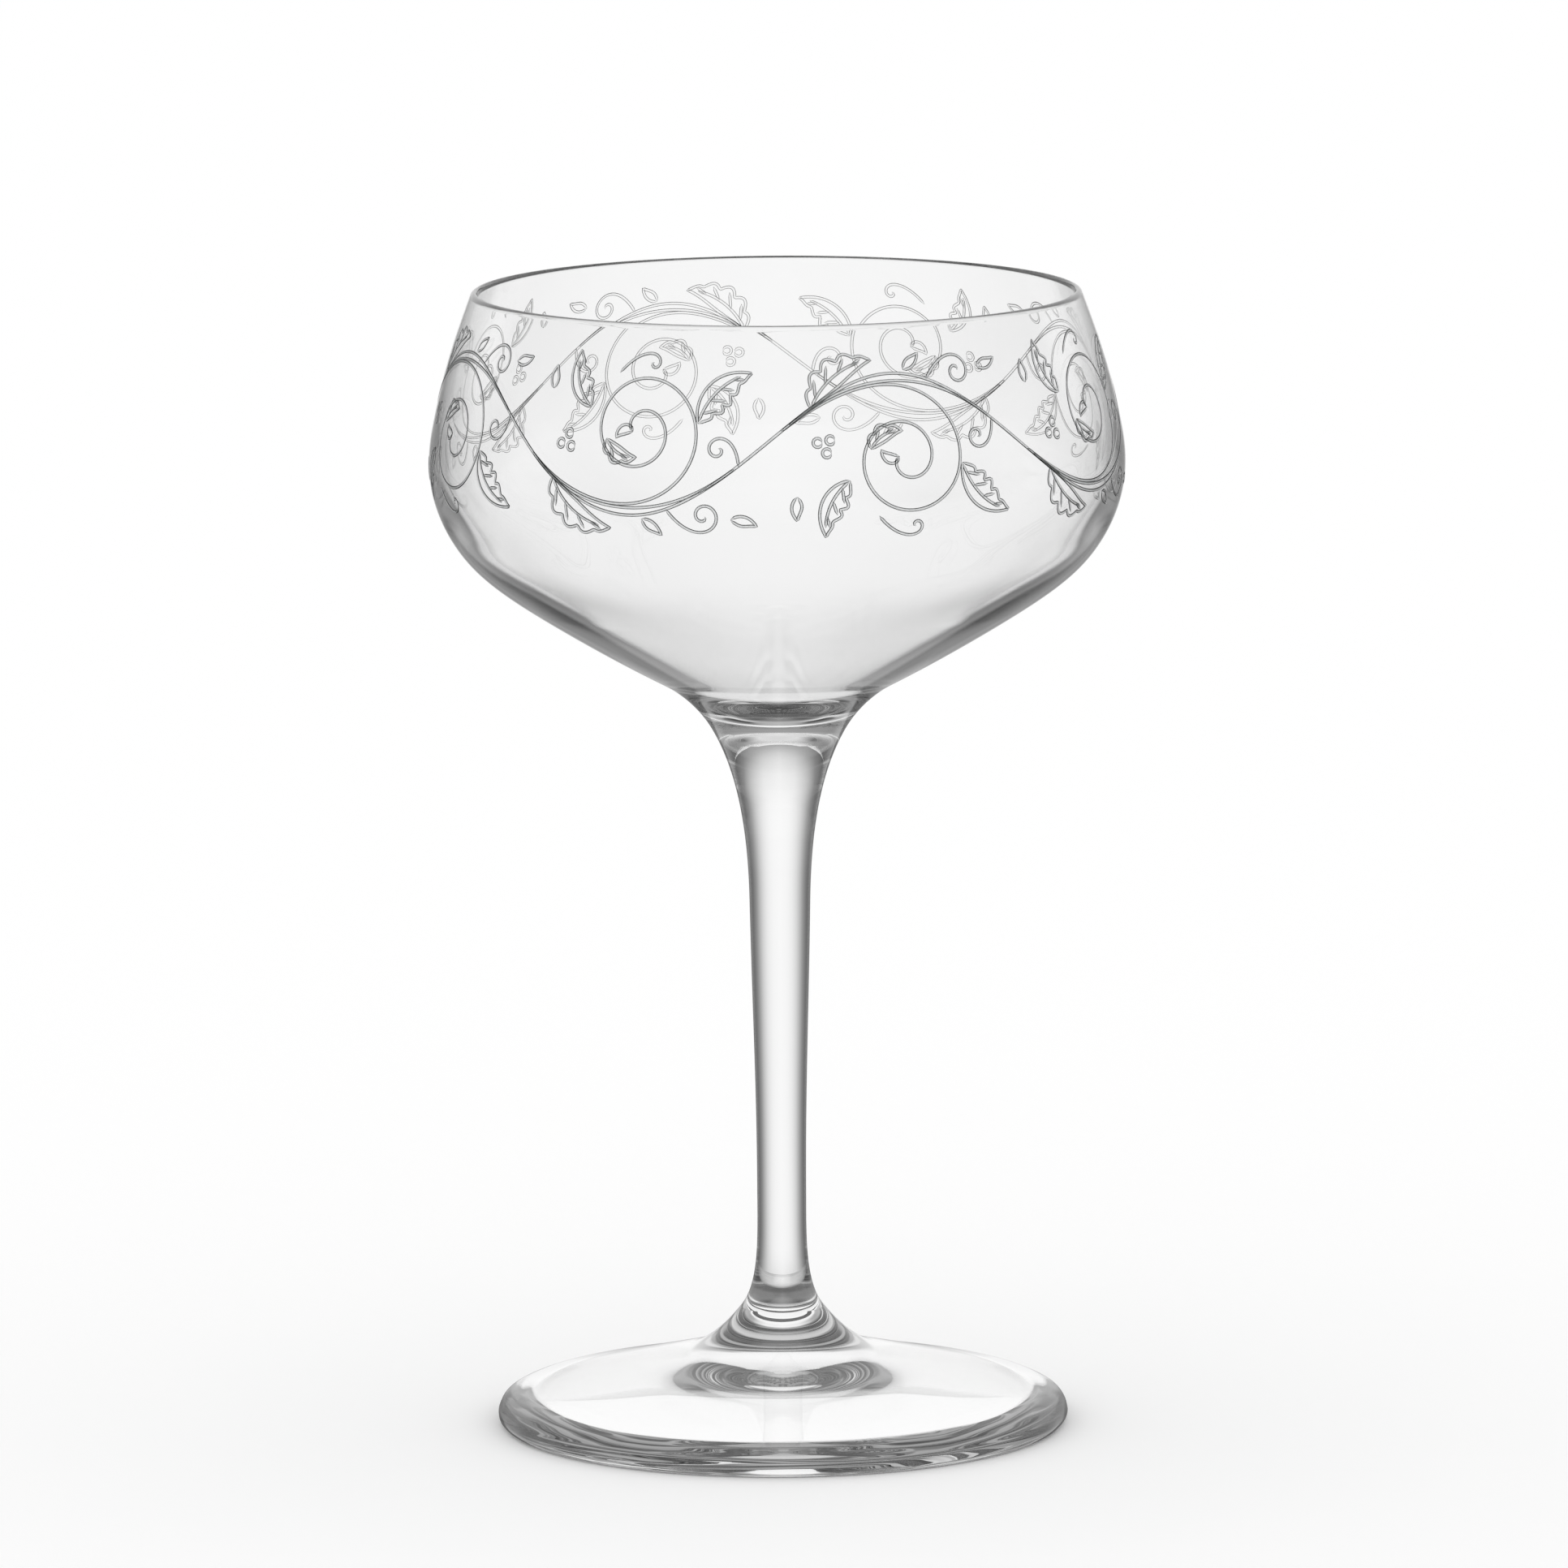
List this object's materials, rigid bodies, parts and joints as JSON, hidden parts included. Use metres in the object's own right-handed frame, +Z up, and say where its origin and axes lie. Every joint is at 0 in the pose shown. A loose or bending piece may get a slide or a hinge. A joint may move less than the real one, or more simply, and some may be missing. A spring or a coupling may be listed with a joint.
{
  "type": "stemmed coupe glass",
  "caption": "Clear stemmed glass with a wide coupe bowl drawn in at the rim, a slim flared stem and a round foot; holds a poured drink and stands on a flat surface.",
  "frame": {"origin": "centre of the ring that the foot rests on, on the table surface", "axes": "+Z up along the axis of the glass; +X to the right and +Y away from the viewer in the picture, both free because the glass is round"},
  "size_m": [0.0939, 0.0938, 0.155],
  "materials": {
    "clear_glass": "fire-polished clear soda-lime glass"
  },
  "bodies": {
    "root": {"bowl": "clear_glass", "stem": "clear_glass", "foot": "clear_glass"}
  },
  "joints": []
}
